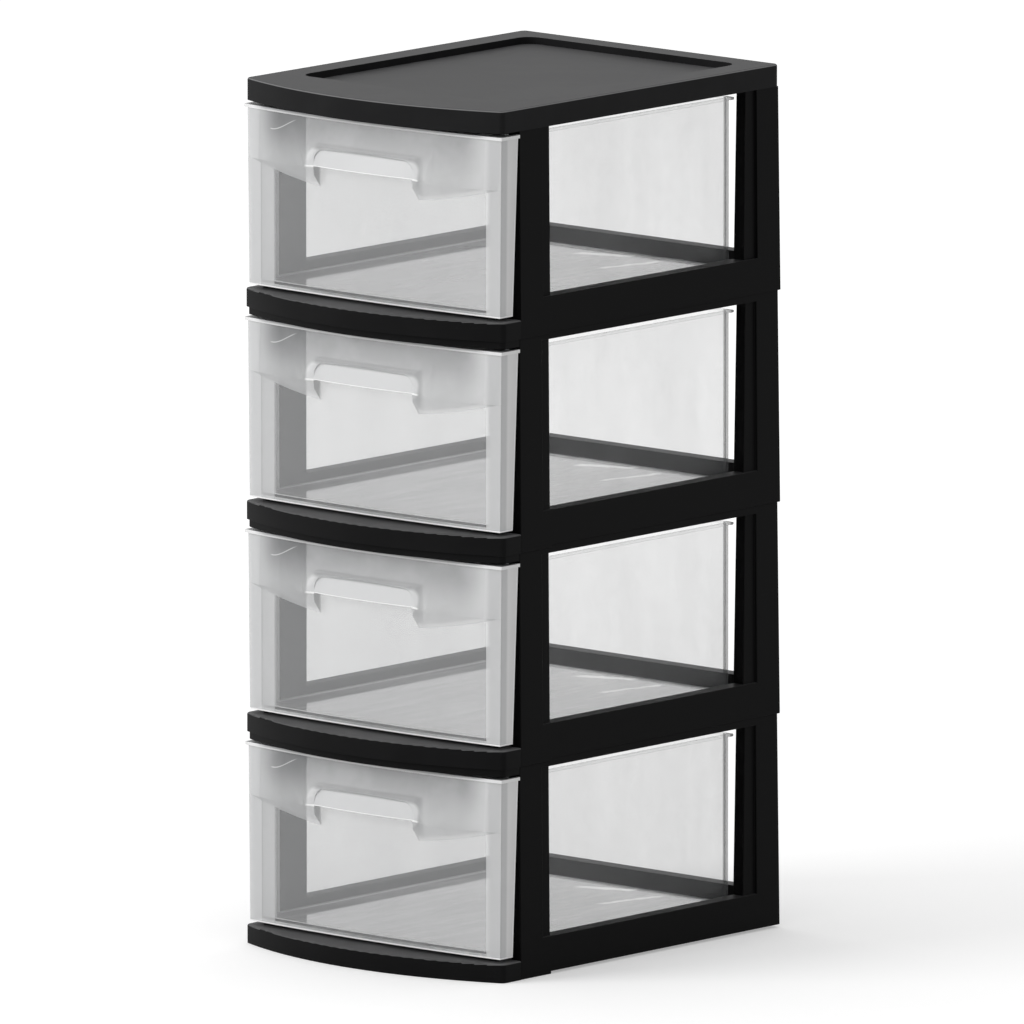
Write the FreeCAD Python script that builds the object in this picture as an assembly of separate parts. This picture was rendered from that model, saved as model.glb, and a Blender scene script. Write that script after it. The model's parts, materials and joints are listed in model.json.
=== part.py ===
"""Four-drawer plastic storage tower: stacked black frames, clear drawers and a lid.

Millimetres. X is the width, -Y the front and +Z up. The origin is the centre of the
outer box's bottom. Pieces are modelled with Y = 0 on the line of the front corners,
and each is moved back by half the depth when it is written.
"""
import FreeCAD, Part
import math
import os

# ---------------------------------------------------------------- the stack
LEVELS = 4                  # drawers, and frames, one above the other
PITCH = 162.5               # height from one frame's foot to the next
WIDTH = 260.0               # outer width at the foot of each frame
SIDE_DEPTH = 317.0          # front corner to rear face, at the foot of each frame
DRAFT = 1.5                 # each frame is this much narrower per side at its top
WALL = 2.5                  # wall of the black mouldings
FIT = 0.3                   # gap between assembled or sliding pieces
HALF_WIDTH = WIDTH / 2

# ---------------------------------------------------------------- drawer front
WING_LOW = 14.5             # depth of the front's side wings at the bottom
WING_HIGH = 19.0            # and at the top
FRONT_INSET_LOW = 4.0       # the front is this much narrower per side than the frame's foot
FRONT_INSET_HIGH = 2.5      # and this much at its top
FRONT_GAP_LOW = 3.0         # gap above the front rail
FRONT_GAP_HIGH = 1.7        # gap below the top bar
PANEL_BOW = 5.5             # bow of the clear lower panel
TOP_BOW = 9.5               # bow of the milky band at its top
CREASE_BOW = 18.5           # bow of the milky band at its lower crease
CREASE_DROP = 40.3          # the crease lies this far below the front's top
LEDGE_SLOPE = 1.37          # drop of the band's underside for each millimetre back
LEDGE_SINK = 2.5            # how far the underside is carried on inside the panel
BEAD_OUT = 1.8              # rim bead along the front's top edge
BEAD_HEIGHT = 2.5

# ---------------------------------------------------------------- shelf
RAIL_HEIGHT = 14.5          # front rail, seen below each drawer
RAIL_BOW = 28.0             # how far the rail's middle stands in front of its corners
RAIL_CORNER = 5.0           # rounding of the rail's two front corners
RAIL_EDGE = 1.5             # rounding of the rail's top front edge
SILL_FRONT = 6.0            # the raised sill starts behind the drawer's front panel
SILL_DEPTH = 26.0           # and so does the tie behind the top bar
BACK_RAIL_HEIGHT = 29.5
BACK_RAIL_DEPTH = 12.0
BACK_RAIL_INSET = 2.0       # the back rail's rear face lies inside the posts' rear face
RUNNER_WIDTH = 12.0
RUNNER_DROP = 15.2          # height of the runner's channel section

# ---------------------------------------------------------------- side frame
SIDE_THICKNESS = 12.5       # posts and side rails, across X
SIDE_RAIL_HEIGHT = 29.0     # top of the side rail, which is the window's lower edge
SIDE_LIFT = 2.0             # the side rail's underside is this much above the front rail's
WING_GAP = 0.5              # gap between the drawer's wings and the front posts
FRONT_POST = 34.5           # depth of the front post's foot
POST_LEDGE = 1.0            # the window starts this far behind the foot
REAR_POST_LOW = 41.0        # depth of the rear post at the side rail
REAR_POST_HIGH = 38.0       # and at its top
TOP_RAIL = 4.1              # height of the thin rail above the window
BORDER_FRONT = 10.0         # sunk border between the front post's outer strip and window
REAR_STRIP = 27.5           # outer strip of the rear post, behind the sunk border
BORDER_SINK = 2.0
REAR_CORNER = 2.0           # rounding of the rear upright edge
POST_ROOF = 12.5            # solid height at the top of each hollow post
PEG_HEIGHT = 6.0            # pegs on the posts, which enter the hollow posts above

# ---------------------------------------------------------------- top bar
BAR_HEIGHT = 6.0
BAR_BOW = 25.0              # a little less than the rail above it
BAR_CORNER = 5.0
BAR_SETBACK = 1.0           # the bar's front corners lie behind the rail's

# ---------------------------------------------------------------- lid
LID_HEIGHT = 17.0
LID_OVERLAP = 5.0           # the lid's skirt comes down this far over the top frame
LID_OVERHANG = 0.3          # and stands out this far from it
LID_BOW = 25.0
LID_CORNER = 5.0
LID_EDGE = 1.5              # rounding of the lid's upper edge
TRAY_RIM_SIDE = 22.8        # rims around the sunk tray in the lid's top
TRAY_RIM_REAR = 21.0
TRAY_FRONT = 34.0
TRAY_DEPTH = 5.5
TRAY_CORNER = 12.0

# ---------------------------------------------------------------- drawer box
DRAWER_WALL = 1.8
FLOOR = 2.0
FLOOR_LIFT = 2.5            # underside of the box above the front's lower edge
BOX_CORNER = 4.0            # rounding of the box's lower and rear edges
BOX_SIDE_GAP = 0.5          # gap between the drawer's rim and the side frame
BOX_BELOW_FRONT = 2.3       # the box's top lies this far below the front's top
BACK_SPACE = 41.7           # from the drawer's back wall to the frame's rear face
RIM_OUT = 1.6               # rim around the top of the drawer's box
RIM_HEIGHT = 2.0
STOP_CLEARANCE = 1.5        # above the stop tabs, below the next frame
STOP_THICKNESS = 3.0        # the tabs reach the top bar after a travel of 240 mm
STOP_WIDTH = 20.0
STOP_PLACE = 60.0           # centre of each stop tab, from the middle

# ---------------------------------------------------------------- finger pull
PULL_HALF_WIDTH = 49.5      # open mouth below the lip
LIP_ABOVE_CREASE = 2.0      # lower edge of the lip that the fingers pull on
SCOOP_HEIGHT = 13.0         # shallow grip face in front of the lip
SCOOP_SINK = 2.5
SCOOP_FLARE = 3.2           # its sides open outward this much for each millimetre forward
SCOOP_RISE = 1.0            # and its roof rises this much
SCOOP_BACK = 6.0            # the flare starts this far behind the crease's middle
SCOOP_CORNER = 9.0          # rounding of the grip face's upper corners
ROOF_ABOVE_SCOOP = 1.5      # underside of the pocket's roof behind the lip

# ---------------------------------------------------------------- worked out from these
SIDE_INNER = HALF_WIDTH - SIDE_THICKNESS
SIDE_TOP = PITCH + SIDE_LIFT
POST_FRONT = WING_HIGH + WING_GAP
FOOT_REAR = POST_FRONT + FRONT_POST
WINDOW_FRONT = FOOT_REAR + POST_LEDGE
WINDOW_REAR_LOW = SIDE_DEPTH - REAR_POST_LOW
WINDOW_REAR_HIGH = SIDE_DEPTH - REAR_POST_HIGH
WINDOW_TOP = PITCH - TOP_RAIL
BORDER_START = WINDOW_FRONT - BORDER_FRONT
BORDER_END = SIDE_DEPTH - REAR_STRIP
POCKET_WIDTH = SIDE_THICKNESS - DRAFT - BORDER_SINK - 2 * WALL
BAR_BOTTOM = PITCH - BAR_HEIGHT
LID_BOTTOM = PITCH - LID_OVERLAP
LID_TOP = LID_BOTTOM + LID_HEIGHT
LID_DRAFT = DRAFT * LID_BOTTOM / PITCH
LID_HALF_WIDTH = HALF_WIDTH - LID_DRAFT + LID_OVERHANG
LID_DEPTH = SIDE_DEPTH - LID_DRAFT + LID_OVERHANG
TRAY_HALF_WIDTH = LID_HALF_WIDTH - TRAY_RIM_SIDE
TRAY_REAR = LID_DEPTH - TRAY_RIM_REAR
DRAWER_BASE = RAIL_HEIGHT + FRONT_GAP_LOW
BOX_BASE = DRAWER_BASE + FLOOR_LIFT
RUNNER_TOP = BOX_BASE - FIT
SILL_REAR = SILL_FRONT + SILL_DEPTH
FRONT_TOP = BAR_BOTTOM - FRONT_GAP_HIGH
CREASE_HEIGHT = FRONT_TOP - CREASE_DROP
LEDGE_RUN = CREASE_BOW - PANEL_BOW + LEDGE_SINK
LEDGE_FOOT = CREASE_HEIGHT - LEDGE_SLOPE * LEDGE_RUN
LIP_EDGE = CREASE_HEIGHT + LIP_ABOVE_CREASE
SCOOP_TOP = LIP_EDGE + SCOOP_HEIGHT
POCKET_ROOF = SCOOP_TOP + ROOF_ABOVE_SCOOP
BOX_TOP = FRONT_TOP - BOX_BELOW_FRONT
BOX_HALF_WIDTH = SIDE_INNER - BOX_SIDE_GAP - RIM_OUT
BOX_BACK = SIDE_DEPTH - BACK_SPACE
STOP_TOP = PITCH - STOP_CLEARANCE
MIDDLE_DEPTH = (SIDE_DEPTH - RAIL_BOW) / 2
BEYOND = 40.0               # how far cutting solids reach past the outer faces
PAST = 1.0                  # how far they reach past a face that lies near others
TOUCH = 0.01                # edges are picked by place to within this


# ---------------------------------------------------------------- plain shapes
def block(x_range, y_range, z_range):
    """Box between two limits along each axis."""
    size = [high - low for low, high in (x_range, y_range, z_range)]
    corner = FreeCAD.Vector(x_range[0], y_range[0], z_range[0])
    return Part.makeBox(size[0], size[1], size[2], corner)


def bowed_wire(half_width, corner_y, bow, back_y, z):
    """Closed outline at height z: straight sides and back, and an arc for the front."""
    left = FreeCAD.Vector(-half_width, corner_y, z)
    middle = FreeCAD.Vector(0, corner_y - bow, z)
    right = FreeCAD.Vector(half_width, corner_y, z)
    right_back = FreeCAD.Vector(half_width, back_y, z)
    left_back = FreeCAD.Vector(-half_width, back_y, z)
    front = Part.Arc(left, middle, right).toShape()
    sides = [
        Part.makeLine(right, right_back),
        Part.makeLine(right_back, left_back),
        Part.makeLine(left_back, left),
    ]
    return Part.Wire([front] + sides)


def bowed_prism(half_width, corner_y, bow, back_y, z_range):
    """Upright block with a bowed front."""
    outline = bowed_wire(half_width, corner_y, bow, back_y, z_range[0])
    return Part.Face(outline).extrude(FreeCAD.Vector(0, 0, z_range[1] - z_range[0]))


def yz_prism(points, x_range):
    """Polygon in the YZ plane, carried along X."""
    corners = [FreeCAD.Vector(x_range[0], y, z) for y, z in points]
    face = Part.Face(Part.makePolygon(corners + corners[:1]))
    return face.extrude(FreeCAD.Vector(x_range[1] - x_range[0], 0, 0))


def upright_edges(shape, is_wanted):
    """Vertical edges whose place (x, y) is wanted."""
    found = []
    for edge in shape.Edges:
        low, high = edge.BoundBox.ZMin, edge.BoundBox.ZMax
        start = edge.Vertexes[0].Point
        is_upright = edge.BoundBox.XLength < TOUCH and edge.BoundBox.YLength < TOUCH
        if is_upright and high - low > TOUCH and is_wanted(start.x, start.y):
            found.append(edge)
    return found


def level_edges(shape, z, rear_limit):
    """Edges that lie flat at height z, in front of the rear limit."""
    found = []
    for edge in shape.Edges:
        box = edge.BoundBox
        is_level = abs(box.ZMin - z) < TOUCH and abs(box.ZMax - z) < TOUCH
        if is_level and box.YMin < rear_limit - TOUCH:
            found.append(edge)
    return found


def mirrored(shape):
    """The same shape on the other side of the middle plane."""
    return shape.mirror(FreeCAD.Vector(0, 0, 0), FreeCAD.Vector(1, 0, 0))


# ---------------------------------------------------------------- shelf
def front_rail():
    """Bowed rail below the drawer, hollow from below, with the sill behind it."""
    rail = bowed_prism(HALF_WIDTH, 0, RAIL_BOW, POST_FRONT, (0, RAIL_HEIGHT))
    corners = upright_edges(rail, lambda x, y: y < TOUCH)
    rail = rail.makeFillet(RAIL_CORNER, corners)
    rail = rail.makeFillet(RAIL_EDGE, level_edges(rail, RAIL_HEIGHT, POST_FRONT))
    sill = block((-SIDE_INNER, SIDE_INNER), (SILL_FRONT, SILL_REAR), (0, RUNNER_TOP))
    rail = rail.fuse(sill)
    hollow_top = RAIL_HEIGHT - WALL
    hollow_z = (-PAST, hollow_top)
    hollow = bowed_prism(HALF_WIDTH - WALL, WALL, RAIL_BOW, POST_FRONT - WALL, hollow_z)
    corners = upright_edges(hollow, lambda x, y: y < WALL + TOUCH)
    hollow = hollow.makeFillet(RAIL_CORNER - WALL, corners)
    inner = SIDE_INNER - WALL
    hollow_rear = SILL_REAR - WALL
    passage = block((-inner, inner), (SILL_FRONT, hollow_rear), hollow_z)
    sill_z = (-PAST, RUNNER_TOP - WALL)
    sill_hollow = block((-inner, inner), (SILL_FRONT + WALL, hollow_rear), sill_z)
    return rail.cut(hollow.multiFuse([passage, sill_hollow]))


def runner():
    """Right runner: a channel open below, which carries the drawer's side."""
    x_range = (SIDE_INNER - RUNNER_WIDTH, SIDE_INNER)
    y_range = (SILL_REAR, SIDE_DEPTH - BACK_RAIL_INSET - BACK_RAIL_DEPTH)
    beam = block(x_range, y_range, (RUNNER_TOP - RUNNER_DROP, RUNNER_TOP))
    hollow_x = (x_range[0] + WALL, x_range[1] - WALL)
    return beam.cut(block(hollow_x, y_range, (0, RUNNER_TOP - WALL)))


def back_rail():
    """Low rail between the rear posts, hollow from below."""
    rear = SIDE_DEPTH - BACK_RAIL_INSET
    front = rear - BACK_RAIL_DEPTH
    rail = block((-SIDE_INNER, SIDE_INNER), (front, rear), (0, BACK_RAIL_HEIGHT))
    inner = SIDE_INNER - WALL
    hollow_top = BACK_RAIL_HEIGHT - WALL
    return rail.cut(block((-inner, inner), (front + WALL, rear - WALL), (-PAST, hollow_top)))


def shelf():
    """Open ring: front rail, two runners and back rail in one moulding."""
    right = runner()
    return front_rail().multiFuse([right, mirrored(right), back_rail()]).removeSplitter()


# ---------------------------------------------------------------- side frame
def outer_x(z):
    """The side's outer face at a height above the frame's foot."""
    return HALF_WIDTH - DRAFT * z / PITCH


def rear_y(z):
    """The side's rear face at a height above the frame's foot."""
    return SIDE_DEPTH - DRAFT * z / PITCH


def side_body():
    """Side with its drafted outer and rear faces, before the window is cut."""
    section = [
        (SIDE_INNER, 0),
        (outer_x(0), 0),
        (outer_x(SIDE_TOP), SIDE_TOP),
        (SIDE_INNER, SIDE_TOP),
    ]
    corners = [FreeCAD.Vector(x, POST_FRONT, z) for x, z in section]
    face = Part.Face(Part.makePolygon(corners + corners[:1]))
    body = face.extrude(FreeCAD.Vector(0, SIDE_DEPTH + BEYOND - POST_FRONT, 0))
    behind = [
        (rear_y(0), 0),
        (SIDE_DEPTH + 2 * BEYOND, 0),
        (SIDE_DEPTH + 2 * BEYOND, SIDE_TOP),
        (rear_y(SIDE_TOP), SIDE_TOP),
    ]
    body = body.cut(yz_prism(behind, (SIDE_INNER - PAST, HALF_WIDTH + PAST)))
    edges = []
    for edge in body.Edges:
        box = edge.BoundBox
        is_rear = box.YMin > FOOT_REAR and box.XMin > SIDE_INNER + PAST
        if is_rear and box.ZLength > PITCH / 2:
            edges.append(edge)
    return body.makeFillet(REAR_CORNER, edges)


def post_hollows():
    """Y limits of the two posts' hollows: front post, then rear post."""
    front = (POST_FRONT + WALL, FOOT_REAR - WALL)
    rear = (WINDOW_REAR_HIGH + WALL, rear_y(PITCH) - WALL)
    return [front, rear]


def right_side(is_top):
    """Right side: two hollow posts, a side rail, and pegs for what stands above."""
    side = side_body()
    x_all = (SIDE_INNER - PAST, HALF_WIDTH + PAST)
    side = side.cut(block(x_all, (FOOT_REAR, SIDE_DEPTH + PAST), (-PAST, SIDE_LIFT)))
    side = side.cut(block(x_all, (POST_FRONT - PAST, FOOT_REAR), (PITCH, SIDE_TOP + PAST)))
    window = [
        (WINDOW_FRONT, SIDE_RAIL_HEIGHT),
        (WINDOW_REAR_LOW, SIDE_RAIL_HEIGHT),
        (WINDOW_REAR_HIGH, WINDOW_TOP),
        (WINDOW_FRONT, WINDOW_TOP),
    ]
    side = side.cut(yz_prism(window, x_all))
    sunk_low = outer_x(SIDE_RAIL_HEIGHT) - BORDER_SINK
    sunk_high = outer_x(WINDOW_TOP) - BORDER_SINK
    sunk = [
        FreeCAD.Vector(sunk_low, BORDER_START, SIDE_RAIL_HEIGHT),
        FreeCAD.Vector(HALF_WIDTH + PAST, BORDER_START, SIDE_RAIL_HEIGHT),
        FreeCAD.Vector(HALF_WIDTH + PAST, BORDER_START, WINDOW_TOP),
        FreeCAD.Vector(sunk_high, BORDER_START, WINDOW_TOP),
    ]
    sunk_face = Part.Face(Part.makePolygon(sunk + sunk[:1]))
    side = side.cut(sunk_face.extrude(FreeCAD.Vector(0, BORDER_END - BORDER_START, 0)))
    hollow_x = (SIDE_INNER + WALL, SIDE_INNER + WALL + POCKET_WIDTH)
    for y_range in post_hollows():
        side = side.cut(block(hollow_x, y_range, (-PAST, PITCH - POST_ROOF)))
    rail_x = (SIDE_INNER + WALL, HALF_WIDTH - WALL)
    rail_y = (FOOT_REAR + WALL, WINDOW_REAR_LOW)
    side = side.cut(block(rail_x, rail_y, (-PAST, SIDE_RAIL_HEIGHT - WALL)))
    if is_top:
        side = side.cut(lid_rebate())
    pegs = [post_peg(y_range, top) for y_range, top in zip(post_hollows(), (PITCH, SIDE_TOP))]
    return side.multiFuse(pegs).removeSplitter()


def post_peg(y_range, top):
    """Peg on a post's top: it fills the hollow of the post above but for the fit."""
    x_range = (SIDE_INNER + WALL + FIT, SIDE_INNER + WALL + POCKET_WIDTH - FIT)
    return block(x_range, (y_range[0] + FIT, y_range[1] - FIT), (top, top + PEG_HEIGHT))


def lid_rebate():
    """What the lid's skirt takes from the top of the uppermost sides."""
    seat_x = LID_HALF_WIDTH - WALL - FIT
    seat_y = LID_DEPTH - WALL - FIT
    z_range = (LID_BOTTOM, SIDE_TOP + PAST)
    seat = block((0, seat_x), (0, seat_y), z_range)
    corner = upright_edges(seat, lambda x, y: x > SIDE_INNER and y > POST_FRONT)
    seat = seat.makeFillet(LID_CORNER - WALL - FIT, corner)
    around = block((0, HALF_WIDTH + PAST), (0, SIDE_DEPTH + PAST), z_range)
    return around.cut(seat)


# ---------------------------------------------------------------- top bar
def top_bar(is_top):
    """Thin bowed bar that ties the front posts together above the drawer."""
    inset = WALL if is_top else 0
    half_width = outer_x(PITCH) - inset
    corner_y = BAR_SETBACK + inset
    z_range = (BAR_BOTTOM, PITCH)
    bar = bowed_prism(half_width, corner_y, BAR_BOW, POST_FRONT, z_range)
    corners = upright_edges(bar, lambda x, y: y < corner_y + TOUCH)
    bar = bar.makeFillet(BAR_CORNER, corners)
    tie = block((-SIDE_INNER, SIDE_INNER), (SILL_FRONT, SILL_REAR), z_range)
    return bar.fuse(tie).removeSplitter()


# ---------------------------------------------------------------- lid
def lid():
    """Lid with a skirt, a sunk tray in its top, and bosses that sit on the posts."""
    top = LID_TOP
    shell = bowed_prism(LID_HALF_WIDTH, 0, LID_BOW, LID_DEPTH, (LID_BOTTOM, top))
    shell = shell.makeFillet(LID_CORNER, upright_edges(shell, lambda x, y: True))
    shell = shell.makeFillet(LID_EDGE, level_edges(shell, top, LID_DEPTH + PAST))
    hollow = bowed_prism(
        LID_HALF_WIDTH - WALL, WALL, LID_BOW, LID_DEPTH - WALL, (LID_BOTTOM - PAST, top - WALL)
    )
    hollow = hollow.makeFillet(LID_CORNER - WALL, upright_edges(hollow, lambda x, y: True))
    shell = shell.cut(hollow)
    tray_floor = top - TRAY_DEPTH
    wide = TRAY_HALF_WIDTH + WALL
    pan_y = (TRAY_FRONT - WALL, TRAY_REAR + WALL)
    pan = block((-wide, wide), pan_y, (tray_floor - WALL, top - WALL))
    shell = shell.fuse(pan)
    tray_z = (tray_floor, top + PAST)
    tray = block((-TRAY_HALF_WIDTH, TRAY_HALF_WIDTH), (TRAY_FRONT, TRAY_REAR), tray_z)
    tray = tray.makeFillet(TRAY_CORNER, upright_edges(tray, lambda x, y: True))
    shell = shell.cut(tray)
    bosses = []
    for y_range, post_top in zip(post_hollows(), (PITCH, SIDE_TOP)):
        bosses.append(lid_boss(y_range, post_top))
        bosses.append(mirrored(bosses[-1]))
    return shell.multiFuse(bosses).removeSplitter()


def lid_boss(y_range, post_top):
    """Socket under the lid: it rests on a post and takes the post's peg."""
    x_range = (SIDE_INNER + WALL, SIDE_INNER + WALL + POCKET_WIDTH)
    outer_x_range = (x_range[0] - WALL + FIT, x_range[1] + WALL - FIT)
    outer_y_range = (y_range[0] - WALL + FIT, y_range[1] + WALL - FIT)
    boss = block(outer_x_range, outer_y_range, (post_top, LID_TOP - WALL))
    return boss.cut(block(x_range, y_range, (post_top - PAST, post_top + PEG_HEIGHT + FIT)))


# ---------------------------------------------------------------- drawer
def front_share(z):
    """Height on the drawer's front as a share, 0 at its foot and 1 at its top."""
    return (z - DRAWER_BASE) / (FRONT_TOP - DRAWER_BASE)


def front_half_width(z):
    """Half width of the drawer's front at a height."""
    growth = FRONT_INSET_LOW - FRONT_INSET_HIGH
    return HALF_WIDTH - FRONT_INSET_LOW + growth * front_share(z)


def wing_depth(z):
    """How far the front's side wings reach back at a height."""
    return WING_LOW + (WING_HIGH - WING_LOW) * front_share(z)


def front_slab(low, high, inset):
    """Loft between two bowed outlines, each given as (z, bow, shift back)."""
    wires = []
    for z, bow, shift in (low, high):
        half_width = front_half_width(z) - inset
        back = wing_depth(z) + (BEYOND if inset else 0)
        wires.append(bowed_wire(half_width, shift + inset, bow, back, z))
    return Part.makeLoft(wires, True, True)


def panel_slab(inset):
    """The flatter clear panel, carried up to the top behind the band."""
    reach = PAST if inset else 0
    low = (DRAWER_BASE - reach, PANEL_BOW, 0)
    high = (FRONT_TOP + reach, PANEL_BOW, 0)
    return front_slab(low, high, inset)


def band_slab(inset):
    """The bowed milky band: it leans forward down to its crease."""
    reach = PAST if inset else 0
    growth = (CREASE_BOW - TOP_BOW) / (FRONT_TOP - CREASE_HEIGHT)
    low = (CREASE_HEIGHT, CREASE_BOW, 0)
    high = (FRONT_TOP + reach, TOP_BOW - growth * reach, 0)
    return front_slab(low, high, inset)


def ledge_slab(inset):
    """The band's sloping underside, which runs back into the panel."""
    low = (LEDGE_FOOT, CREASE_BOW, LEDGE_RUN)
    high = (CREASE_HEIGHT, CREASE_BOW, 0)
    return front_slab(low, high, inset)


def front_body(inset):
    """The whole drawer front as a filled solid."""
    return panel_slab(inset).multiFuse([band_slab(inset), ledge_slab(inset)])


def arch_wire(half_width, top, corner, y):
    """Outline at depth y with a flat foot, upright sides and rounded upper corners."""
    bend = corner * (1 - math.sqrt(0.5))
    half = [
        (half_width, LEDGE_FOOT),
        (half_width, top - corner),
        (half_width - bend, top - bend),
        (half_width - corner, top),
    ]
    right = [FreeCAD.Vector(x, y, z) for x, z in half]
    left = [FreeCAD.Vector(-x, y, z) for x, z in half]
    return Part.Wire([
        Part.makeLine(left[0], right[0]),
        Part.makeLine(right[0], right[1]),
        Part.Arc(right[1], right[2], right[3]).toShape(),
        Part.makeLine(right[3], left[3]),
        Part.Arc(left[3], left[2], left[1]).toShape(),
        Part.makeLine(left[1], left[0]),
    ])


def scoop_block(margin):
    """Arch-shaped block over the grip face, flared to the front and wider by the margin."""
    wide = PULL_HALF_WIDTH + margin
    top = SCOOP_TOP + margin
    corner = SCOOP_CORNER + margin
    back = SCOOP_BACK - CREASE_BOW + margin * SCOOP_FLARE / (SCOOP_FLARE + 1)
    reach = SCOOP_BACK + BEAD_OUT
    flared_wide = wide + SCOOP_FLARE * reach
    flared_corner = corner + SCOOP_RISE * reach
    wires = [
        arch_wire(flared_wide, top + SCOOP_RISE * reach, flared_corner, back - reach),
        arch_wire(wide, top, corner, back),
        arch_wire(wide, top, corner, WING_HIGH),
    ]
    return Part.makeLoft(wires, True, True)


def sunk_front(body, inset):
    """The front body with the grip face sunk into its band, not into the panel behind."""
    pushed = body.translated(FreeCAD.Vector(0, SCOOP_SINK, 0))
    skin = body.cut(pushed).common(scoop_block(inset))
    return body.cut(skin.cut(panel_slab(inset)))


def drawer_front():
    """Thin front with wings, top bead and the finger pocket behind the lip."""
    outer = sunk_front(front_body(0), 0)
    inner = sunk_front(front_body(DRAWER_WALL), DRAWER_WALL)
    front = outer.cut(inner)
    bead_low = FRONT_TOP - BEAD_HEIGHT
    bead_half = front_half_width(FRONT_TOP) + BEAD_OUT
    bead = bowed_prism(bead_half, -BEAD_OUT, TOP_BOW, WING_HIGH, (bead_low, FRONT_TOP))
    front = front.fuse(bead.cut(front_body(DRAWER_WALL)))
    mouth = block((-PULL_HALF_WIDTH, PULL_HALF_WIDTH), (-BEYOND, BEYOND), (LEDGE_FOOT, LIP_EDGE))
    front = front.cut(mouth.cut(panel_slab(0)))
    wide = PULL_HALF_WIDTH + DRAWER_WALL
    x_range = (-wide, wide)
    deep = (-BEYOND, BEYOND)
    back_zone = block(x_range, deep, (LEDGE_FOOT, POCKET_ROOF + DRAWER_WALL))
    back = panel_slab(0).cut(panel_slab(DRAWER_WALL)).common(back_zone)
    filled = outer.cut(panel_slab(DRAWER_WALL))
    roof = filled.common(block(x_range, deep, (POCKET_ROOF, POCKET_ROOF + DRAWER_WALL)))
    cheek_z = (LEDGE_FOOT, POCKET_ROOF + DRAWER_WALL)
    cheek = filled.common(block((PULL_HALF_WIDTH, wide), deep, cheek_z))
    return front.multiFuse([back, roof, cheek, mirrored(cheek)])


def box_edges(box_shape):
    """Lower side and rear edges of a box, and its rear upright edges."""
    bounds = box_shape.BoundBox
    found = []
    for edge in box_shape.Edges:
        box = edge.BoundBox
        is_low = box.ZMax < bounds.ZMin + TOUCH and box.YMax > bounds.YMin + TOUCH
        is_rear_upright = box.YMin > bounds.YMax - TOUCH and box.ZLength > TOUCH
        if is_low or is_rear_upright:
            found.append(edge)
    return found


def drawer_box():
    """Side walls, floor, back wall with stop tabs, and the rim around the top."""
    wide = BOX_HALF_WIDTH
    outside = block((-wide, wide), (-BEYOND, BOX_BACK), (BOX_BASE, BOX_TOP))
    outside = outside.makeFillet(BOX_CORNER, box_edges(outside))
    inner = wide - DRAWER_WALL
    inner_y = (-2 * BEYOND, BOX_BACK - DRAWER_WALL)
    inside = block((-inner, inner), inner_y, (BOX_BASE + FLOOR, BOX_TOP + PAST))
    inside = inside.makeFillet(BOX_CORNER - DRAWER_WALL, box_edges(inside))
    walls = outside.cut(inside)
    joint_y = WING_LOW - DRAWER_WALL
    near = (-2 * BEYOND, joint_y)
    near_block = block((-HALF_WIDTH, HALF_WIDTH), near, (0, PITCH))
    near_walls = walls.common(near_block).common(front_body(0))
    far_walls = walls.cut(near_block)
    rim_z = (BOX_TOP - RIM_HEIGHT, BOX_TOP)
    rim_wide = wide + RIM_OUT
    rim = block((-rim_wide, rim_wide), (joint_y, BOX_BACK + RIM_OUT), rim_z)
    rim = rim.cut(block((-inner, inner), (0, BOX_BACK - DRAWER_WALL), (0, PITCH)))
    pieces = [far_walls, rim]
    for side in (-1, 1):
        middle = side * STOP_PLACE
        x_range = (middle - STOP_WIDTH / 2, middle + STOP_WIDTH / 2)
        y_range = (BOX_BACK - STOP_THICKNESS, BOX_BACK)
        pieces.append(block(x_range, y_range, (BOX_TOP - RIM_HEIGHT, STOP_TOP)))
    return near_walls.multiFuse(pieces)


def drawer():
    """Clear drawer: its front, with the finger pull, and its box in one moulding."""
    return drawer_front().fuse(drawer_box()).removeSplitter()


# ---------------------------------------------------------------- assembly
def save(shape, node, level_z):
    """Lift a piece to its level, centre it front to back and write it."""
    placed = shape.Solids[0] if len(shape.Solids) == 1 else shape
    placed = placed.translated(FreeCAD.Vector(0, -MIDDLE_DEPTH, level_z))
    placed.exportStep("parts/" + node + ".step")


os.makedirs("parts", exist_ok=True)
shelf_shape = shelf()
drawer_shape = drawer()
for level in range(LEVELS):
    number = str(level + 1)
    level_z = level * PITCH
    is_top = level == LEVELS - 1
    right_shape = right_side(is_top)
    save(shelf_shape, "shelf_" + number, level_z)
    save(right_shape, "side_right_" + number, level_z)
    save(mirrored(right_shape), "side_left_" + number, level_z)
    save(top_bar(is_top), "top_bar_" + number, level_z)
    save(drawer_shape, "drawer_" + number, level_z)
save(lid(), "lid", (LEVELS - 1) * PITCH)
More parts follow.
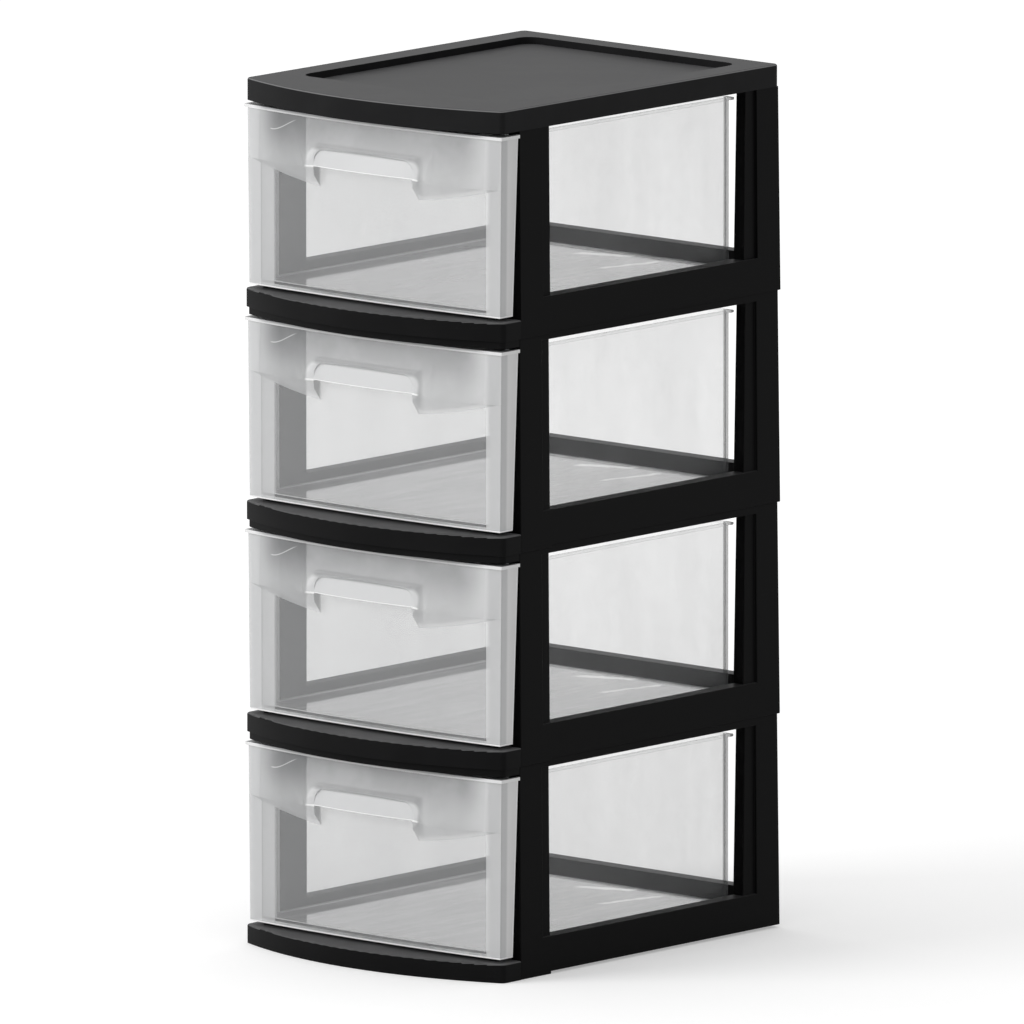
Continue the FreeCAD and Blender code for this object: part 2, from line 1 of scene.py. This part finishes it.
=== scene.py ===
import json
import math
import bpy
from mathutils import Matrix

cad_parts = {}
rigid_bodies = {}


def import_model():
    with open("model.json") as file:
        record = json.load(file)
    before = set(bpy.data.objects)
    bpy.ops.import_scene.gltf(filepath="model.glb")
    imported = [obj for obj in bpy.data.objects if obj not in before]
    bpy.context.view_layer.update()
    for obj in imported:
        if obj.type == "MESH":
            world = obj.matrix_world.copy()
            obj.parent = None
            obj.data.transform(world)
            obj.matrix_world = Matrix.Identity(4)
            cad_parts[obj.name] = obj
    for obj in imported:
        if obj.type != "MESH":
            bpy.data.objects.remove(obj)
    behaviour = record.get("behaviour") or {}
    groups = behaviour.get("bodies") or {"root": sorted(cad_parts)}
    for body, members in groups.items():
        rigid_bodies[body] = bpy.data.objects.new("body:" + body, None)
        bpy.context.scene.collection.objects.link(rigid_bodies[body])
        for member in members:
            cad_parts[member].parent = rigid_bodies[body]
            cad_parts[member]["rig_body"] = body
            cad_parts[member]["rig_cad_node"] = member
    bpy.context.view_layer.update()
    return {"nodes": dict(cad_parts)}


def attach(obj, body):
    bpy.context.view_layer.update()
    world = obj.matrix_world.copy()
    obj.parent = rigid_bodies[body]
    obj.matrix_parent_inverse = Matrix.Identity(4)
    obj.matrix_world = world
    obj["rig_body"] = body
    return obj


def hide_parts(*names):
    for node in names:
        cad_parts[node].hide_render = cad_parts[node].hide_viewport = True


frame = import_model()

# ---------------------------------------------------------------- shelves
# Four injection-moulded rings of black polystyrene, one under each drawer: a bowed front
# rail with a sill behind it, two runners and a low back rail. Each is held between its two
# side frames, and its front rail stands before their posts.
LEVELS = range(1, 5)            # counted from the floor
SHELF_BEVEL = 0.0006
SAME_CORNER = 0.000005          # corners nearer than this are one
SAME_FACE = math.radians(0.5)   # faces that meet at less than this are one
SHARP_EDGE = math.radians(55)   # edges sharper than this are softened
SMOOTH_EDGE = math.radians(50)  # and edges flatter than this are shaded smooth


class Socket:
    """A node socket that can be written into an expression."""

    def __init__(self, tree, socket=None):
        self.tree = tree
        self.socket = socket

    def node(self, kind, settings, inputs, output=0):
        """The output of a new node, with its settings made before its inputs."""
        made = self.tree.nodes.new(kind)
        for name, value in settings.items():
            setattr(made, name, value)
        for name, value in inputs.items():
            if isinstance(value, Socket):
                self.tree.links.new(value.socket, made.inputs[name])
            else:
                made.inputs[name].default_value = value
        return Socket(self.tree, made.outputs[output])

    def maths(self, operation, first, second=0.0):
        return self.node("ShaderNodeMath", {"operation": operation}, {0: first, 1: second})

    def __add__(self, other):
        return self.maths("ADD", self, other)

    def __radd__(self, other):
        return self.maths("ADD", other, self)

    def __sub__(self, other):
        return self.maths("SUBTRACT", self, other)

    def __rsub__(self, other):
        return self.maths("SUBTRACT", other, self)

    def __mul__(self, other):
        return self.maths("MULTIPLY", self, other)

    def __rmul__(self, other):
        return self.maths("MULTIPLY", other, self)

    def __pow__(self, other):
        return self.maths("POWER", self, other)

    def __mod__(self, other):
        return self.maths("FLOORED_MODULO", self, other)

    def __abs__(self):
        return self.maths("ABSOLUTE", self)

    def larger(self, other):
        return self.maths("MAXIMUM", self, other)

    def smaller(self, other):
        return self.maths("MINIMUM", self, other)

    def between(self, low, high):
        """0 below low and 1 above high, with a smooth step from one to the other."""
        settings = {"interpolation_type": "SMOOTHSTEP"}
        inputs = {"Value": self, "From Min": low, "From Max": high}
        return self.node("ShaderNodeMapRange", settings, inputs)

    def part(self, axis):
        """One number of a vector: 0 for x, 1 for y and 2 for z."""
        return self.node("ShaderNodeSeparateXYZ", {}, {"Vector": self}, axis)

    def blended(self, first, second):
        """The first colour where this is 0 and the second where it is 1."""
        return self.node("ShaderNodeMix", {"data_type": "RGBA"}, {0: self, 6: first, 7: second}, 2)

    def noise(self, place, scale, detail, roughness):
        inputs = {"Vector": place, "Scale": scale, "Detail": detail, "Roughness": roughness}
        return self.node("ShaderNodeTexNoise", {}, inputs)

    def relief(self, strength, distance):
        """The surface's normal with this as the height of its bumps."""
        inputs = {"Strength": strength, "Distance": distance, "Height": self}
        return self.node("ShaderNodeBump", {}, inputs)

    def feeds(self, shader, name):
        self.tree.links.new(self.socket, shader.inputs[name])


def new_finish(name):
    """An empty material with its shader; returns it, a socket to write from and the shader."""
    finish = bpy.data.materials.new(name)
    finish.use_nodes = True
    tree = finish.node_tree
    return finish, Socket(tree), tree.nodes["Principled BSDF"]


def black_plastic(name, seed, tone_with_painted_light, dust_and_sheen_amount, edge_highlight_amount):
    """Black moulded plastic: fine spark texture, flow marks, scuffs, dust with painted sheen,
    painted edge highlights, and a base tone with painted light and shade.
    """
    finish, source, shader = new_finish(name)
    place = source.node("ShaderNodeTexCoord", {}, {}, "Object")
    shifted = place.node("ShaderNodeVectorMath", {"operation": "ADD"}, {0: place, 1: seed})
    grain = source.noise(shifted, 1500.0, 2.0, 0.6)
    cloud = source.noise(shifted, 22.0, 3.0, 0.55).between(0.35, 0.7)
    scuff = source.noise(shifted, 160.0, 4.0, 0.7).between(0.62, 0.80)
    up = source.node("ShaderNodeNewGeometry", {}, {}, "Normal").part(2)
    upward = up.between(0.6, 0.95)
    # upward faces are paler: dust, and painted sheen from the light above
    top_dust_and_sheen = upward * (0.75 + 0.25 * cloud)
    # painted highlight on the rounded edges that face upward, mottled like wear
    edge_highlight = up.between(0.25, 0.50) * (1 - up.between(0.72, 0.94))
    tint = (1.0, 1.0, 1.04)
    # the base tone is set per part, lighter for lit parts and darker for shaded ones: painted
    # light and shade
    deep = [tone_with_painted_light * share for share in tint] + [1]
    pale = [1.5 * tone_with_painted_light * share for share in tint] + [1]
    base = (cloud * 0.6).blended(deep, pale)
    base = (scuff * 0.16).blended(base, (0.024, 0.024, 0.025, 1))
    base = (top_dust_and_sheen * dust_and_sheen_amount).blended(base, (0.160, 0.160, 0.162, 1))
    base = (edge_highlight * edge_highlight_amount * (0.7 + 0.3 * scuff)).blended(base, (0.300, 0.300, 0.304, 1))
    rough = 0.40 + 0.08 * cloud + 0.06 * scuff + 0.08 * upward
    base.feeds(shader, "Base Color")
    rough.feeds(shader, "Roughness")
    grain.relief(0.14, 0.0002).feeds(shader, "Normal")
    shader.inputs["Specular IOR Level"].default_value = 0.04
    return finish


def moulded_copy(node, name, bevel):
    """A copy of a CAD node with its triangles joined and its edges softened."""
    bpy.ops.object.select_all(action="DESELECT")
    original = frame["nodes"][node]
    original.select_set(True)
    bpy.context.view_layer.objects.active = original
    bpy.ops.object.duplicate()
    piece = bpy.context.view_layer.objects.active
    piece.name = name
    piece.data.name = name
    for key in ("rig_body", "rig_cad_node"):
        del piece[key]
    piece.parent = None
    bpy.ops.object.mode_set(mode="EDIT")
    bpy.ops.mesh.select_all(action="SELECT")
    bpy.ops.mesh.remove_doubles(threshold=SAME_CORNER)
    bpy.ops.mesh.dissolve_limited(angle_limit=SAME_FACE)
    bpy.ops.object.mode_set(mode="OBJECT")
    bpy.ops.object.modifier_add(type="BEVEL")
    soft = piece.modifiers[-1]
    soft.width = bevel
    soft.segments = 2
    soft.limit_method = "ANGLE"
    soft.angle_limit = SHARP_EDGE
    bpy.ops.object.modifier_apply(modifier=soft.name)
    bpy.ops.object.shade_smooth_by_angle(angle=SMOOTH_EDGE)
    bpy.ops.object.modifier_add(type="WEIGHTED_NORMAL")
    flat = piece.modifiers[-1]
    flat.keep_sharp = True
    bpy.ops.object.modifier_apply(modifier=flat.name)
    return piece


def settle(piece, node, body, finish):
    """The piece stands for its CAD node, rides on its body and takes its finish."""
    piece.data.materials.clear()
    piece.data.materials.append(finish)
    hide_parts(node)
    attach(piece, body)


# the sill's top gets dust and painted sheen, and the rails' upper edges get painted highlights
shelf_finish = black_plastic(
    "black_shelf_plastic", seed=(0.3, 0.1, 0.7), tone_with_painted_light=0.0055, dust_and_sheen_amount=0.80, edge_highlight_amount=0.45
)
for level in LEVELS:
    node = "shelf_" + str(level)
    piece = moulded_copy(node, "shelf_ring_" + str(level), SHELF_BEVEL)
    settle(piece, node, "frame", shelf_finish)

# ---------------------------------------------------------------- side frames
# Eight moulded side frames, open in the middle, with hollow posts front and rear. Pegs on
# a frame's posts enter the posts above, and the outer faces narrow a little upward.
SIDE_BEVEL = 0.0006
# the side frames' base is painted darker, as shade on the side faces
side_finish = black_plastic(
    "black_side_plastic", seed=(1.3, 2.1, 0.2), tone_with_painted_light=0.0030, dust_and_sheen_amount=0.14, edge_highlight_amount=0.05
)
for level in LEVELS:
    for hand in ("left", "right"):
        place_name = hand + "_" + str(level)
        piece = moulded_copy("side_" + place_name, "side_frame_" + place_name, SIDE_BEVEL)
        settle(piece, "side_" + place_name, "frame", side_finish)

# ---------------------------------------------------------------- top bars
# Thin bowed bars that tie the front posts together above each drawer. Each is hidden
# but for a narrow edge below the rail, or below the lid.
BAR_BEVEL = 0.0005
bar_finish = black_plastic(
    "black_bar_plastic", seed=(0.9, 0.4, 1.6), tone_with_painted_light=0.0046, dust_and_sheen_amount=0.20, edge_highlight_amount=0.30
)
for level in LEVELS:
    node = "top_bar_" + str(level)
    piece = moulded_copy(node, "front_tie_" + str(level), BAR_BEVEL)
    settle(piece, node, "frame", bar_finish)

# ---------------------------------------------------------------- drawers
# Four drawers in clear polystyrene, each one moulding: a box with thin walls, and an
# overlay front whose upper band is frosted milky and leans out over the finger pull.
PITCH = 0.1625                  # from one frame's foot to the next
FRONT_CORNERS = -0.1445         # y of the fronts' two corners
DRAWER_BEVEL = 0.0004
# heights are from the frame's foot, depths from the corners and halves from the middle
FRONT_FOOT = 0.0175
FRONT_REAR = 0.0197             # the front's wings end before this depth
CREASE = 0.1145                 # lower crease of the milky band
BAND_SHADE_TOP = 0.1500               # the band is painted darkest from here up, as shade under what lies above it
LIP = 0.1165                    # lower edge of the lip above the mouth
POCKET_TOP = 0.1335             # the pocket behind the lip ends below this
POCKET_HALF = 0.0514
GRIP_HALF = 0.0580              # the grip face, with its rounded upper corners
GRIP_TOP = 0.1315
GRIP_ROUND = 0.0090
FRONT_RIM = 0.1523              # the bead along the front's top lies above this
BOX_RIM = 0.1505                # and the box's rim above this
BOX_WALL = 0.1136               # the box's side walls lie outside this
BOX_REAR = 0.2735
BOX_REAR_HALF = 0.1095
FLOOR_TOP = 0.0220
FLOOR_HALF = 0.1158
PANEL_BOW = 0.0055              # the clear panel below the band
PANEL_HALF = 0.1266
WING_DEPTH = 0.0145             # the wings reach this far back at their foot,
WING_SLOPE = 0.0328             # and further the higher they are
LEFT_HIGHLIGHT_END = -0.0987           # x where the painted highlight strip at the panel's left ends


def cool_grey(level):
    """A grey with a trace of blue."""
    return (level, level + 0.005, level + 0.010, 1)


def plain_grey(level):
    return (level, level, level, 1)


def clear_plastic():
    """Clear plastic, milky on the front's band and borders, with painted highlights on its edges
    and painted shade in places.
    """
    finish, source, shader = new_finish("clear_drawer_plastic")
    place = source.node("ShaderNodeTexCoord", {}, {}, "Object")
    x = place.part(0)
    aside = abs(x)
    depth = place.part(1) - FRONT_CORNERS
    height = place.part(2) % PITCH
    normal = source.node("ShaderNodeNewGeometry", {}, {}, "Normal")
    upward = normal.part(2).between(0.8, 0.95)

    # the front: panel, milky band, borders and the wings' sides
    panel = PANEL_BOW * ((aside * (1 / PANEL_HALF)) ** 2.0) - PANEL_BOW
    ahead = (panel - depth).between(0.0003, 0.0009)
    front = 1 - depth.between(FRONT_REAR - 0.0003, FRONT_REAR + 0.0003)
    pocket = 1 - aside.between(POCKET_HALF - 0.0002, POCKET_HALF + 0.0002)
    pocket = pocket * (1 - height.between(POCKET_TOP, POCKET_TOP + 0.0004))
    raised = height.between(CREASE - 0.0006, CREASE)
    band = front * ahead.larger(raised * (1 - pocket * (1 - ahead)))
    # a painted highlight strip on the panel, on its left side only
    left_highlight_strip = front * (1 - x.between(LEFT_HIGHLIGHT_END - 0.0007, LEFT_HIGHLIGHT_END + 0.0007)) * (1 - raised)
    border = front * aside.between(BOX_WALL - 0.0007, BOX_WALL - 0.0002)
    wing_side = border * depth.between(0.0012, 0.0022)

    # the grip face, a rectangle with rounded upper corners
    out_x = (aside - (GRIP_HALF - GRIP_ROUND)).larger(0.0)
    out_z = (height - (GRIP_TOP - GRIP_ROUND)).larger(0.0)
    reach = (out_x * out_x + out_z * out_z) ** 0.5
    grip = (1 - reach.between(GRIP_ROUND - 0.0035, GRIP_ROUND)) * ahead
    grip = grip * height.between(LIP - 0.0012, LIP - 0.0004)

    # painted highlights on the cut edges, and the bead along the top with a painted shade line,
    # painted highlights at its ends and painted shade on its upper face
    low_edge_glint = front * (1 - height.between(FRONT_FOOT + 0.0009, FRONT_FOOT + 0.0012))
    wing_reach = WING_DEPTH + WING_SLOPE * (height - FRONT_FOOT)
    wing_edge_glint = (depth - wing_reach).between(-0.0013, -0.0010) * border
    lip_edge_glint = grip * (1 - height.between(LIP + 0.0004, LIP + 0.0008))
    edge_glints = low_edge_glint.larger(wing_edge_glint).larger(lip_edge_glint)
    bead = front * height.between(FRONT_RIM - 0.0002, FRONT_RIM)
    # a painted shade line along the bead
    groove_shade = bead * height.between(FRONT_RIM + 0.0011, FRONT_RIM + 0.0014)
    # painted highlights at the bead's ends
    corner_highlight = bead * aside.between(0.104, 0.120)
    # the bead's upper face is painted darker, as shade under what lies above it
    ledge_shade = bead * upward

    # the box: floor, rim, and painted dark lines down the rear corners
    box = 1 - front
    floor = (depth - panel).between(0.0016, 0.0020)
    floor = floor * (1 - aside.between(FLOOR_HALF - 0.0002, FLOOR_HALF + 0.0002))
    floor = floor * (1 - height.between(FLOOR_TOP + 0.0003, FLOOR_TOP + 0.0012))
    box_rim = box * height.between(BOX_RIM - 0.0001, BOX_RIM + 0.0001)
    # painted dark lines down the box's rear corners
    rear_edge_shade = box * depth.between(BOX_REAR - 0.0003, BOX_REAR)
    rear_edge_shade = rear_edge_shade * aside.between(BOX_REAR_HALF - 0.0005, BOX_REAR_HALF + 0.0005)

    # flow of the plastic: clouds, streaks along the floor and a veil down the walls
    cloud = source.noise(place, 26.0, 3.0, 0.5)
    haze = source.noise(place, 90.0, 4.0, 0.6)
    stretched = place.node(
        "ShaderNodeMapping", {}, {"Vector": place, "Scale": (60.0, 9.0, 1.0)}
    )
    streak = source.noise(stretched, 1.0, 4.0, 0.62).between(0.36, 0.72)
    hung = place.node("ShaderNodeMapping", {}, {"Vector": place, "Scale": (24.0, 24.0, 5.0)})
    veil = source.noise(hung, 1.0, 4.0, 0.55)

    # two painted glints that meet on the floor, which also glow, and a wavy line at the band's
    # left
    wander = 0.010 * (haze - 0.5)
    across = 1 - abs(depth - 0.259 - 0.38 * x + wander).between(0.0030, 0.0055)
    across = across * (1 - abs(x - 0.003).between(0.018, 0.025))
    along = 1 - abs(x - 0.0436 - 0.233 * (depth - 0.211) + wander).between(0.0016, 0.0034)
    along = along * (1 - abs(depth - 0.236).between(0.022, 0.032))
    glare = floor * across.larger(along)
    sweep = 0.1391 + 0.0110 * x.between(-0.098, -0.064)
    mark = (1 - abs(height - sweep).between(0.0002, 0.0006)) * band * 0.5
    mark = mark * x.between(-0.101, -0.098) * (1 - x.between(-0.078, -0.070))

    # how much each place covers, the later lines over the earlier ones
    alpha = 0.11 + 0.165 * front
    cover = (
        (left_highlight_strip, 0.52),
        (band, 0.60),
        (border, 0.64),
        (wing_side, 0.76),
        (grip, 0.74),
        (floor, 0.86),
        (box_rim, 0.18),
        (rear_edge_shade, 0.60),
        (edge_glints.larger(glare), 0.92),
        (bead.larger(mark), 0.84),
    )
    for where, share in cover:
        alpha = alpha + (share - alpha) * where
    facing = source.node("ShaderNodeLayerWeight", {}, {"Blend": 0.5}, "Facing")
    alpha = alpha + 0.20 * (facing ** 5.0) + 0.03 * (haze - 0.5) + 0.09 * (veil - 0.5) * box
    alpha = alpha.larger(0.02).smaller(1.0)

    # the colours, in the same way
    # the milky band, painted darker towards its top and its middle as shade under what lies above
    # it
    milk_and_shade = height.between(CREASE, BAND_SHADE_TOP).blended(cool_grey(0.60), cool_grey(0.27))
    milk_and_shade = (cloud.between(0.40, 0.75) * 0.30).blended(milk_and_shade, cool_grey(0.58))
    milk_and_shade = aside.between(0.090, 0.122).blended(milk_and_shade, cool_grey(0.76))
    milk_and_shade = raised.blended(cool_grey(0.59), milk_and_shade)
    # the wings' sides are painted darker near the front, as shade across the corner's rounding
    wing_shade_tone = depth.between(0.0055, 0.0085).blended(cool_grey(0.70), plain_grey(0.93))
    floor_tone = streak.blended(cool_grey(0.70), plain_grey(0.97))
    base = front.blended(cool_grey(0.34), cool_grey(0.50))
    tones = (
        (left_highlight_strip, cool_grey(0.74)),
        (band, milk_and_shade),
        (border * (1 - band), cool_grey(0.75)),
        (wing_side, wing_shade_tone),
        (grip, cool_grey(0.76)),
        (floor, floor_tone),
        (box_rim, cool_grey(0.55)),
        (rear_edge_shade, (0.06, 0.062, 0.064, 1)),
        (bead, plain_grey(0.74)),
        (groove_shade, cool_grey(0.46)),
        (corner_highlight, plain_grey(0.92)),
        (ledge_shade, cool_grey(0.26)),
        (edge_glints.larger(glare).larger(mark), plain_grey(0.97)),
    )
    for where, tone in tones:
        base = where.blended(base, tone)

    rough = 0.13 + 0.24 * band.larger(border) + (0.10 * streak - 0.07) * floor + 0.05 * cloud
    swell = source.noise(place, 34.0, 1.0, 0.4)
    fine = source.noise(place, 900.0, 2.0, 0.5)
    bumps = swell + 0.05 * fine * band
    base.feeds(shader, "Base Color")
    rough.feeds(shader, "Roughness")
    alpha.feeds(shader, "Alpha")
    floor.feeds(shader, "Coat Weight")
    # the painted glints on the floor glow
    glare.blended(plain_grey(0), plain_grey(1)).feeds(shader, "Emission Color")
    bumps.relief(0.35, 0.0006).feeds(shader, "Normal")
    shader.inputs["Coat Roughness"].default_value = 0.06
    shader.inputs["Emission Strength"].default_value = 0.30
    return finish


drawer_finish = clear_plastic()
for level in LEVELS:
    node = "drawer_" + str(level)
    piece = moulded_copy(node, "clear_drawer_" + str(level), DRAWER_BEVEL)
    settle(piece, node, node, drawer_finish)

# ---------------------------------------------------------------- front returns
# The top edge of each drawer's front is turned back flat, in one moulding with it, and
# nearly closes the gap below the rail or lid. It is bowed in front and straight behind.
RETURN_TOP = 0.1547             # above the frame's foot
RETURN_HALF = 0.1253
RETURN_DEPTH = 0.0120           # of its straight rear edge, behind the front's corners
RETURN_BOW = 0.0095
RETURN_THICKNESS = 0.0016
FRONT_SKIN = 0.0019             # its front edge lies this far inside the front's outer face

bpy.ops.object.select_all(action="DESELECT")
bpy.ops.mesh.primitive_grid_add(x_subdivisions=32, y_subdivisions=1, size=2)
strip = bpy.context.view_layer.objects.active
for spot in strip.data.vertices:
    fore = RETURN_BOW * (spot.co.x ** 2 - 1) + FRONT_SKIN
    back = (spot.co.y + 1) / 2
    spot.co.y = FRONT_CORNERS + fore + (RETURN_DEPTH - fore) * back
    spot.co.x = spot.co.x * RETURN_HALF
    spot.co.z = RETURN_TOP
bpy.ops.object.modifier_add(type="SOLIDIFY")
sheet = strip.modifiers[-1]
sheet.thickness = RETURN_THICKNESS
sheet.offset = -1
bpy.ops.object.modifier_apply(modifier=sheet.name)
strip.data.materials.append(drawer_finish)

strips = [strip]
for level in LEVELS[1:]:
    bpy.ops.object.duplicate()
    strips.append(bpy.context.view_layer.objects.active)
    bpy.ops.object.mode_set(mode="EDIT")
    bpy.ops.mesh.select_all(action="SELECT")
    bpy.ops.transform.translate(value=(0, 0, PITCH))
    bpy.ops.object.mode_set(mode="OBJECT")
for level, strip in zip(LEVELS, strips):
    strip.name = "drawer_return_" + str(level)
    strip.data.name = strip.name
    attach(strip, "drawer_" + str(level))

# ---------------------------------------------------------------- lid
# One black moulding with a bowed front and a skirt that comes down over the top frame.
# A wide tray is sunk into its top, and bosses beneath it sit on the posts.
LID_BEVEL = 0.0012
# the lid's base is painted lighter, as light on its front, with more painted sheen on top and
# painted edge highlights
lid_finish = black_plastic(
    "black_lid_plastic", seed=(2.2, 0.8, 0.5), tone_with_painted_light=0.0110, dust_and_sheen_amount=0.35, edge_highlight_amount=0.80
)
piece = moulded_copy("lid", "tower_lid", LID_BEVEL)
settle(piece, "lid", "frame", lid_finish)

# ---------------------------------------------------------------- floor, light and camera
# A plain pale floor that keeps the tower's shadow, a pale room all round, and two soft
# lamps: a wide one at the front left and one above.
GROUND_SIZE = 80
GROUND_DROP = 0.0002            # keeps the floor clear of the tower's foot


def seen_by_camera(source):
    """1 for what the camera sees, also in a reflection or through something clear."""
    seen = source.node("ShaderNodeLightPath", {}, {}, "Is Camera Ray")
    for other in ("Is Glossy Ray", "Is Transmission Ray"):
        seen = seen.larger(source.node("ShaderNodeLightPath", {}, {}, other))
    return seen


bpy.ops.object.select_all(action="DESELECT")
bpy.ops.mesh.primitive_plane_add(size=GROUND_SIZE, location=(0, 0, -GROUND_DROP))
ground = bpy.context.view_layer.objects.active
ground.name = "pale_floor"
ground.data.transform(ground.matrix_world)
ground.matrix_world.identity()
floor_finish, source, shader = new_finish("pale_floor_paint")
place = source.node("ShaderNodeTexCoord", {}, {}, "Object")
x = place.part(0)
y = place.part(1)
away = ((x * x + y * y) ** 0.5).between(0.4, 2.6)
speck = source.noise(place, 300.0, 2.0, 0.5)
paint = (speck * 0.5).blended(plain_grey(0.78), plain_grey(0.82))
glow = (seen_by_camera(source) * (0.34 + 0.30 * away)).blended(plain_grey(0), plain_grey(1))
paint.feeds(shader, "Base Color")
glow.feeds(shader, "Emission Color")
shader.inputs["Emission Strength"].default_value = 1.0
shader.inputs["Roughness"].default_value = 0.9
shader.inputs["Specular IOR Level"].default_value = 0.0
ground.data.materials.append(floor_finish)

world = bpy.data.worlds.new("pale_room")
bpy.context.scene.world = world
world.use_nodes = True
background = world.node_tree.nodes["Background"]
background.inputs["Color"].default_value = (1, 1, 1, 1)
(0.50 + 0.50 * seen_by_camera(Socket(world.node_tree))).feeds(background, "Strength")


def lamp(name, place, aim, size, power):
    """A square soft lamp that faces a point."""
    bpy.ops.object.light_add(type="AREA", location=place)
    made = bpy.context.view_layer.objects.active
    made.name = name
    made.data.name = name
    made.data.size = size
    made.data.energy = power
    behind = made.location - type(made.location)(aim)
    made.rotation_mode = "QUATERNION"
    made.rotation_quaternion = behind.to_track_quat("Z", "Y")


LAMP_AIM = (0, 0, 0.33)
lamp("front_left_lamp", (-1.5, -2.6, 1.7), LAMP_AIM, size=1.6, power=50)
lamp("top_lamp", (-0.2, 0.2, 2.7), LAMP_AIM, size=1.4, power=20)

# The camera stands far off with a long lens, to the right of the front and a little above.
TURN = math.radians(41.4477)
RISE = math.radians(9.5638)
DISTANCE = 22.6532
SIDEWAYS = 0.007834
UP = -0.004701
TOWER_MIDDLE = (0, 0, 0.331)
FOCAL_LENGTH = 30000.0          # in the image's pixels
IMAGE_WIDTH = 1024
SENSOR_WIDTH = 36
outward = (math.sin(TURN) * math.cos(RISE), -math.cos(TURN) * math.cos(RISE), math.sin(RISE))
rightward = (math.cos(TURN), math.sin(TURN), 0.0)
upward = (
    -math.sin(TURN) * math.sin(RISE),
    math.cos(TURN) * math.sin(RISE),
    math.cos(RISE),
)
eye = [
    TOWER_MIDDLE[i] + outward[i] * DISTANCE + rightward[i] * SIDEWAYS + upward[i] * UP
    for i in range(3)
]
bpy.ops.object.camera_add(location=eye, rotation=(math.pi / 2 - RISE, 0, TURN))
camera = bpy.context.view_layer.objects.active
camera.name = "long_lens_camera"
camera.data.sensor_width = SENSOR_WIDTH
camera.data.lens = FOCAL_LENGTH / IMAGE_WIDTH * SENSOR_WIDTH
camera.data.clip_start = 1.0
camera.data.clip_end = 200.0
bpy.context.scene.camera = camera
bpy.context.scene.view_settings.view_transform = "Standard"
